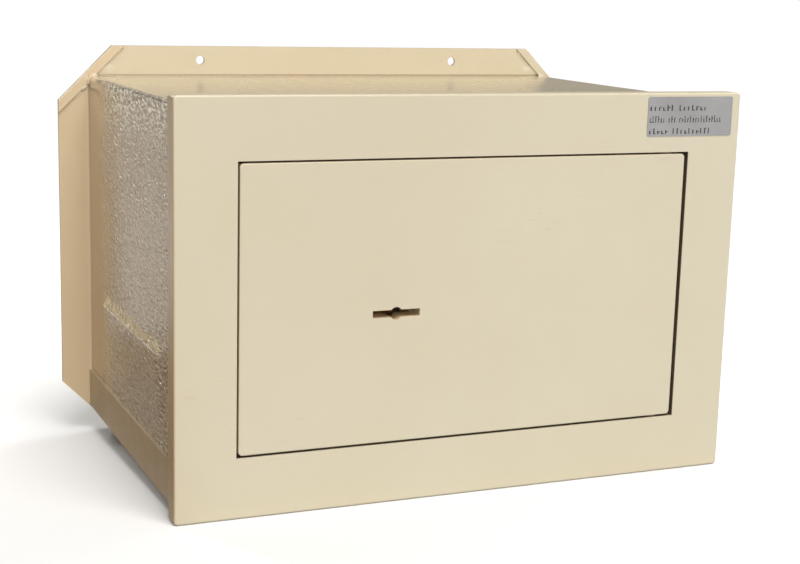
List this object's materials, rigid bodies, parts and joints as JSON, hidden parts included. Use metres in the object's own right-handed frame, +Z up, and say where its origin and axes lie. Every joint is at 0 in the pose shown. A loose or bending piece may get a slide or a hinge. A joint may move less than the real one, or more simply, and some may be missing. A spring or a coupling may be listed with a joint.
{
  "type": "wall safe",
  "caption": "Cream steel wall safe with a flush key-locked door, sheet body and a rear fixing flange with chamfered corners.",
  "frame": {"origin": "centre of the four flange bolts on the rear plane", "axes": "+X to the right seen from the front, -Y out of the front, +Z up"},
  "size_m": [0.324, 0.2073, 0.224],
  "materials": {
    "cream_enamel_front": "semi-gloss",
    "cream_enamel_body": "semi-gloss",
    "cream_hammer_enamel": "textured gloss",
    "label_foil": "satin",
    "lever_brass": "satin",
    "rotor_brass": "satin",
    "spring_steel": "satin",
    "zinc_plated_steel": "satin",
    "bolt_steel": "turned",
    "fastener_steel": "satin"
  },
  "bodies": {
    "root": {"front_frame": "cream_enamel_front", "body_wrap": "cream_hammer_enamel", "bottom_pan": "cream_enamel_body", "rear_panel": "cream_enamel_body", "corner_strap_left": "cream_enamel_body", "corner_strap_right": "cream_enamel_body", "door_stop_top": "cream_enamel_body", "door_stop_bottom": "cream_enamel_body", "door_stop_side": "cream_enamel_body", "rating_label": "label_foil"},
    "door": {"door_plate": "cream_enamel_front", "hinge_pin_upper": "fastener_steel", "hinge_pin_lower": "fastener_steel", "hinge_washer_upper": "rotor_brass", "hinge_washer_lower": "rotor_brass", "hinge_side_dog": "cream_enamel_body", "dog_screws": "fastener_steel", "lock_case": "zinc_plated_steel", "lock_cap": "zinc_plated_steel", "lock_screws": "fastener_steel", "lever_post": "fastener_steel", "bolt_guide_upper": "zinc_plated_steel", "bolt_guide_lower": "zinc_plated_steel"},
    "boltwork": {"bolt_bar": "zinc_plated_steel", "locking_bolt_upper": "bolt_steel", "locking_bolt_lower": "bolt_steel", "bar_rivets": "fastener_steel"},
    "rotor": {"key_rotor": "rotor_brass"},
    "lever_1": {"lever_1": "lever_brass", "lever_spring_1": "spring_steel"},
    "lever_2": {"lever_2": "lever_brass", "lever_spring_2": "spring_steel"},
    "lever_3": {"lever_3": "lever_brass", "lever_spring_3": "spring_steel"},
    "lever_4": {"lever_4": "lever_brass", "lever_spring_4": "spring_steel"},
    "lever_5": {"lever_5": "lever_brass", "lever_spring_5": "spring_steel"}
  },
  "joints": [
    {"name": "door_swing", "type": "hinge", "parent": "root", "child": "door", "pos_m": [0.108, -0.202, 0], "axis": [0, 0, 1], "range_deg": [0, 110]},
    {"name": "boltwork_slide", "type": "slide", "parent": "door", "child": "boltwork", "axis": [-1, 0, 0], "range_m": [0, 0.012]},
    {"name": "rotor_turn", "type": "hinge", "parent": "door", "child": "rotor", "pos_m": [-0.0403, -0.19, -0.005], "axis": [0, -1, 0], "range_deg": [0, 180.1]},
    {"name": "lever_1_lift", "type": "hinge", "parent": "door", "child": "lever_1", "pos_m": [-0.006, -0.19, 0.014], "axis": [0, 1, 0], "range_deg": [-6, 0]},
    {"name": "lever_2_lift", "type": "hinge", "parent": "door", "child": "lever_2", "pos_m": [-0.006, -0.19, 0.014], "axis": [0, 1, 0], "range_deg": [-6, 0]},
    {"name": "lever_3_lift", "type": "hinge", "parent": "door", "child": "lever_3", "pos_m": [-0.006, -0.19, 0.014], "axis": [0, 1, 0], "range_deg": [-6, 0]},
    {"name": "lever_4_lift", "type": "hinge", "parent": "door", "child": "lever_4", "pos_m": [-0.006, -0.19, 0.014], "axis": [0, 1, 0], "range_deg": [-6, 0]},
    {"name": "lever_5_lift", "type": "hinge", "parent": "door", "child": "lever_5", "pos_m": [-0.006, -0.19, 0.014], "axis": [0, 1, 0], "range_deg": [-6, 0]}
  ],
  "couplings": [
    {"joint": "rotor_turn", "follows": "boltwork_slide", "rad_per_m": 261.8},
    {"joint": "lever_2_lift", "follows": "lever_1_lift", "ratio": 0.86},
    {"joint": "lever_3_lift", "follows": "lever_1_lift", "ratio": 0.72},
    {"joint": "lever_4_lift", "follows": "lever_1_lift", "ratio": 0.93},
    {"joint": "lever_5_lift", "follows": "lever_1_lift", "ratio": 0.79}
  ]
}
